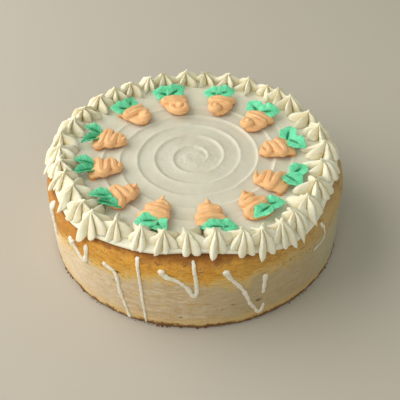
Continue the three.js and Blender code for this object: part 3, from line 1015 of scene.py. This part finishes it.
def piped_leaf(leaf, material):
    draw = random.Random(500 + leaf)
    carrot, second = divmod(leaf, 2)
    middle_along, middle_aside, direction, lift = LEAVES[leaf]
    half_width, cup_height, shade = FOLDED_LEAF if carrot in FOLDED_CARROTS else OPEN_LEAF
    length = LEAF_LENGTH * draw.uniform(0.94, 1.06)
    half_width *= draw.uniform(0.92, 1.08)
    waves = draw.uniform(2.6, 3.8)
    phase = draw.uniform(0.0, math.tau)
    seed = draw.uniform(0.0, 90.0)

    def place(turn, ring):
        along = ring / (LEAF_RINGS - 1)
        across = math.cos(turn)
        wave = math.tau * waves * along + phase
        breadth = max(0.02, math.sin(math.pi * (0.07 + 0.92 * along ** 0.9))) ** 0.6
        breadth *= 1.0 - 0.3 * smooth_step(along, 0.55, 0.95)
        breadth *= 1.0 + 0.03 * math.sin(wave + 2.0 * across)
        slit = math.exp(-((across / 0.11) ** 2)) * smooth_step(along, 0.02, 0.12)
        slit *= 1.0 - smooth_step(along, 0.35, 0.75)
        cup = cup_height * abs(across) ** 1.2
        frill = 0.35 * across * across * math.sin(wave + 0.8 * across)
        vein = math.sin(math.tau * (7.0 * along - 1.2 * abs(across)))
        arch = 0.9 * math.sin(math.pi * along)
        lumps = 0.2 * ripple((length * along, half_width * across, 0.0), 2.5, seed)
        thickness = LEAF_THICKNESS / 2.0 * min(1.0, 0.3 + 1.2 * breadth) * math.sin(turn)
        x = length * (along - 0.5) + 0.8 * across * across * (1.0 - along) + lumps
        y = half_width * breadth * across
        z = breadth * (cup + frill + 0.06 * vein) + arch + lumps + thickness
        if math.sin(turn) > 0.0:
            z -= 1.3 * slit
        # Painted shade in the slit, along the middle and in the veins' hollows, and over folded leaves
        return Vector((x, y, z)), slit + 0.2 * (1.0 - abs(across)) + 0.07 * (1.0 - vein) + shade

    bm = bmesh.new()
    extruded_rings(bm, LEAF_SEGMENTS, LEAF_RINGS, place)
    middle = Matrix.Translation(Vector((middle_along, middle_aside, lift)))
    lean = rotation(-LEAF_LEANS.get(carrot, 0.0), "Y")
    turn = rotation(direction - CARROTS[carrot][2])
    bmesh.ops.transform(bm, matrix=carrot_place(carrot) @ middle @ lean @ turn, verts=bm.verts)
    name = f"leaf_{carrot + 1:02d}_{'ab'[second]}"
    make_piece(name, bm, material, "leaf_icing", f"carrot_{carrot + 1:02d}")


leaf_material = icing_material("green_icing", LEAF_GREEN, LEAF_FOLD_SHADE)
for leaf in range(len(LEAVES)):
    piped_leaf(leaf, leaf_material)


# ----------------------------------------
# The drizzles. Thin white icing flicked over the side in loops while it was runny: each is a
# flat thread that clings to the crust, thick where it landed and thin where it ran.

# Each drizzle: the half width and the points of its thread, as azimuth and height
DRIZZLES = [
    (3.0, [(-157.5, 64.0), (-156.6, 56.0), (-156.0, 48.0), (-155.6, 41.0), (-155.8, 34.0)]),
    (2.5, [(-142.0, 55.0), (-140.0, 50.0), (-137.8, 46.0), (-134.8, 41.0), (-133.4, 45.0),
           (-132.4, 54.0), (-132.0, 60.0)]),
    (1.5, [(-124.8, 51.5), (-122.7, 49.0), (-120.4, 47.5), (-119.2, 42.0), (-118.9, 34.0),
           (-118.0, 23.5), (-116.4, 9.0), (-115.6, 2.0)]),
    (1.2, [(-111.2, 65.0), (-110.6, 59.0), (-110.2, 46.0), (-109.7, 26.0), (-109.4, 13.0), (-109.2, 2.0)]),
    (1.7, [(-102.8, 60.0), (-101.5, 56.0), (-100.0, 53.5), (-97.6, 51.6), (-95.6, 49.0),
           (-93.6, 45.0), (-92.0, 38.5), (-91.0, 36.0), (-90.2, 40.0), (-90.3, 50.0),
           (-90.7, 58.0), (-91.2, 66.0)]),
    (1.65, [(-80.4, 59.0), (-79.2, 53.5), (-77.4, 47.5), (-75.6, 42.5), (-73.6, 35.5),
            (-72.2, 28.0), (-71.0, 20.5), (-69.0, 13.0), (-67.4, 7.5), (-66.2, 10.5),
            (-65.6, 16.0)]),
    (1.6, [(-65.6, 46.0), (-65.7, 37.0), (-66.3, 27.5)]),
    (0.8, [(-38.6, 62.0), (-37.0, 55.0), (-35.8, 47.0), (-37.4, 42.5), (-40.4, 42.5), (-42.9, 41.5)]),
    (1.0, [(12.0, 62.0), (13.0, 50.0), (13.6, 38.0), (14.2, 27.0)]),
    (1.1, [(46.0, 61.0), (49.0, 52.0), (53.0, 41.0), (55.0, 36.0), (56.5, 43.0), (57.0, 55.0)]),
    (1.0, [(88.0, 62.0), (88.8, 46.0), (89.6, 25.0), (90.2, 3.0)]),
    (1.2, [(121.0, 60.0), (124.0, 51.0), (128.0, 43.0), (131.0, 30.0), (133.0, 22.0), (134.5, 30.0)]),
    (0.9, [(166.0, 62.0), (167.0, 52.0), (167.6, 44.0)]),
]
DRIZZLE_SEGMENTS = 12
DRIZZLE_RINGS_PER_POINT = 14
# How thick a thread is against its width, and how wide its end is against its start
DRIZZLE_FLATNESS = 0.5
DRIZZLE_TAPER = 0.8

DRIZZLE_WHITE = (0.86, 0.8, 0.69)


def glaze_material():
    glaze = Finish("drizzled_icing", Subsurface_Weight=0.3, Subsurface_Scale=1.5 * MM)
    clouds = glaze.noise(3.0, 3.0, 0.6)
    colour = glaze.layered(DRIZZLE_WHITE, [(clouds, 0.35, 0.7, 0.5, CRUST_PALE)])
    roughness = glaze.ranged(clouds, 0.3, 0.7, 0.25, 0.45)
    return glaze.finish(colour, glaze.bump(clouds, 0.3, 0.5), Roughness=roughness)


def side_point(azimuth, height, offset=0.0):
    """A point on the cake's side or shoulder, so far off it."""
    up = max(0.0, min(SHOULDER_RADIUS, height - SHOULDER_HEIGHT))
    radius = FLAT_RADIUS + math.sqrt(SHOULDER_RADIUS ** 2 - up * up)
    relief = crust_relief(turned(radius, azimuth, height), height)
    return turned(radius * round_share(azimuth) + relief + offset, azimuth, height)


def drizzle(bm, half_width, points, draw):
    rings = DRIZZLE_RINGS_PER_POINT * (len(points) - 1) + 1
    seed = draw.uniform(0.0, 90.0)
    # The rings lie closer together towards both ends
    shares = [0.5 - 0.5 * math.cos(math.pi * ring / (rings - 1)) for ring in range(rings)]
    places = [along_outline(points, share) for share in shares]
    middles = [side_point(*place) for place in places]
    travelled = [0.0]
    for before, middle in zip(middles, middles[1:]):
        travelled.append(travelled[-1] + (middle - before).length)

    def place(turn, ring):
        middle = middles[ring]
        out = turned(1.0, places[ring][0])
        ahead = middles[min(ring + 1, rings - 1)] - middles[max(ring - 1, 0)]
        across = ahead.cross(out).normalized()
        gone = travelled[ring]
        width = half_width * lerp(1.0, DRIZZLE_TAPER, gone / travelled[-1])
        width *= 1.0 + 0.45 * math.exp(-((gone / 7.5) ** 2)) + 0.5 * ripple((0.0, 0.0, gone), 4.5, seed)
        to_end = min(gone, travelled[-1] - gone) / (1.5 * half_width)
        width *= math.sqrt(max(0.0004, 1.0 - (1.0 - min(1.0, to_end)) ** 2))
        ragged = 1.0 + 0.3 * ripple(middle + across * math.copysign(3.0, math.cos(turn)), 1.5, seed)
        rise = math.sin(turn) * width * DRIZZLE_FLATNESS + 0.3
        return middle + across * math.cos(turn) * width * ragged + out * rise, 0.0

    extruded_rings(bm, DRIZZLE_SEGMENTS, rings, place)


def drizzled_icing():
    bm = bmesh.new()
    draw = random.Random(7)
    for half_width, points in DRIZZLES:
        drizzle(bm, half_width, points, draw)
    make_piece("drizzled_icing", bm, glaze_material(), "drizzle_icing")


drizzled_icing()


# ----------------------------------------
# The crumbs. Bits of browned crust that broke off the cake's foot when the tin came off, and
# lie against it.

CRUMB_COUNT = 170
CRUMB_RADII = (0.3, 0.9)
CRUMB_FLATNESS = 0.75


def crumbs():
    bm = bmesh.new()
    draw = random.Random(11)
    for crumb in range(CRUMB_COUNT):
        azimuth = draw.uniform(-180.0, 180.0)
        size = lerp(*CRUMB_RADII, draw.random() ** 2)
        middle = side_point(azimuth, 0.0, draw.uniform(-0.6, 1.0) - size)
        middle.z = size * 0.6
        made = bmesh.ops.create_icosphere(bm, subdivisions=2, radius=size)["verts"]
        for v in made:
            v.co *= 1.0 + 0.45 * ripple(v.co, size * 0.9, crumb * 3.1)
            v.co.z *= CRUMB_FLATNESS
        turn = Matrix.Rotation(draw.uniform(0.0, math.tau), 3, "Z")
        bmesh.ops.rotate(bm, verts=made, cent=(0, 0, 0), matrix=turn)
        bmesh.ops.translate(bm, verts=made, vec=middle)
        for v in made:
            v.co.z = max(v.co.z, 0.0)
    make_piece("crust_crumbs", bm, bpy.data.materials["baked_crust"], "crust")


crumbs()


# ----------------------------------------
# The studio. A plain pale floor, one large soft light from the left, a weak one from the front,
# and the camera, which looks down at the cake from the front.

FLOOR_COLOUR = (0.52, 0.47, 0.41)
FLOOR_SIZE = 6.0
LIGHT_TARGET = (0.0, 0.0, 0.05)
# Each light: its name, place, size, power and colour
LIGHTS = [
    ("window", (-1.1, 0.15, 0.75), (1.9, 1.7), 26.0, (1.0, 0.97, 0.92)),
    ("front_fill", (-0.1, -1.7, 1.2), (1.6, 1.2), 8.5, (1.0, 0.97, 0.93)),
]
ROOM_COLOUR = (0.90, 0.98, 0.85)
ROOM_STRENGTH = 0.42
CAMERA_LENS = 66.65
CAMERA_SENSOR = 36.0
# The camera's distance from the middle of the cake's base, how high over it the camera stands in
# degrees, and its turns off that middle in degrees, about its own axes
CAMERA_DISTANCE = 0.622
CAMERA_ELEVATION = 43.40
CAMERA_TURNS = [(1.58, "X"), (-0.375, "Y"), (-1.352, "Z")]


def studio_floor():
    paint = Finish("studio_floor", Base_Color=FLOOR_COLOUR, Roughness=0.9, Specular_IOR_Level=0.1)
    bm = bmesh.new()
    bmesh.ops.create_grid(bm, x_segments=1, y_segments=1, size=FLOOR_SIZE)
    floor = mesh_object("studio_floor", bm)
    floor.data.materials.append(paint.material)


def soft_light(name, place, size, power, colour):
    data = bpy.data.lights.new(name, "AREA")
    data.shape = "RECTANGLE"
    data.size, data.size_y = size
    data.energy = power
    data.color = colour
    light = scene_object(name, data)
    light.location = place
    light.rotation_euler = (Vector(LIGHT_TARGET) - Vector(place)).to_track_quat("-Z", "Y").to_euler()


def camera():
    data = bpy.data.cameras.new("camera")
    data.lens = CAMERA_LENS
    data.sensor_width = CAMERA_SENSOR
    view = scene_object("camera", data)
    elevation = math.radians(CAMERA_ELEVATION)
    place = Vector((0.0, -math.cos(elevation), math.sin(elevation))) * CAMERA_DISTANCE
    aim = rotation(90.0 - CAMERA_ELEVATION, "X")
    for turn in CAMERA_TURNS:
        aim @= rotation(*turn)
    view.matrix_world = Matrix.Translation(place) @ aim
    bpy.context.scene.camera = view


studio_floor()
for light in LIGHTS:
    soft_light(*light)
camera()
world = bpy.data.worlds.new("studio")
world.use_nodes = True
room = world.node_tree.nodes["Background"]
room.inputs["Color"].default_value = (*ROOM_COLOUR, 1.0)
room.inputs["Strength"].default_value = ROOM_STRENGTH
bpy.context.scene.world = world
bpy.context.scene.view_settings.view_transform = "Standard"
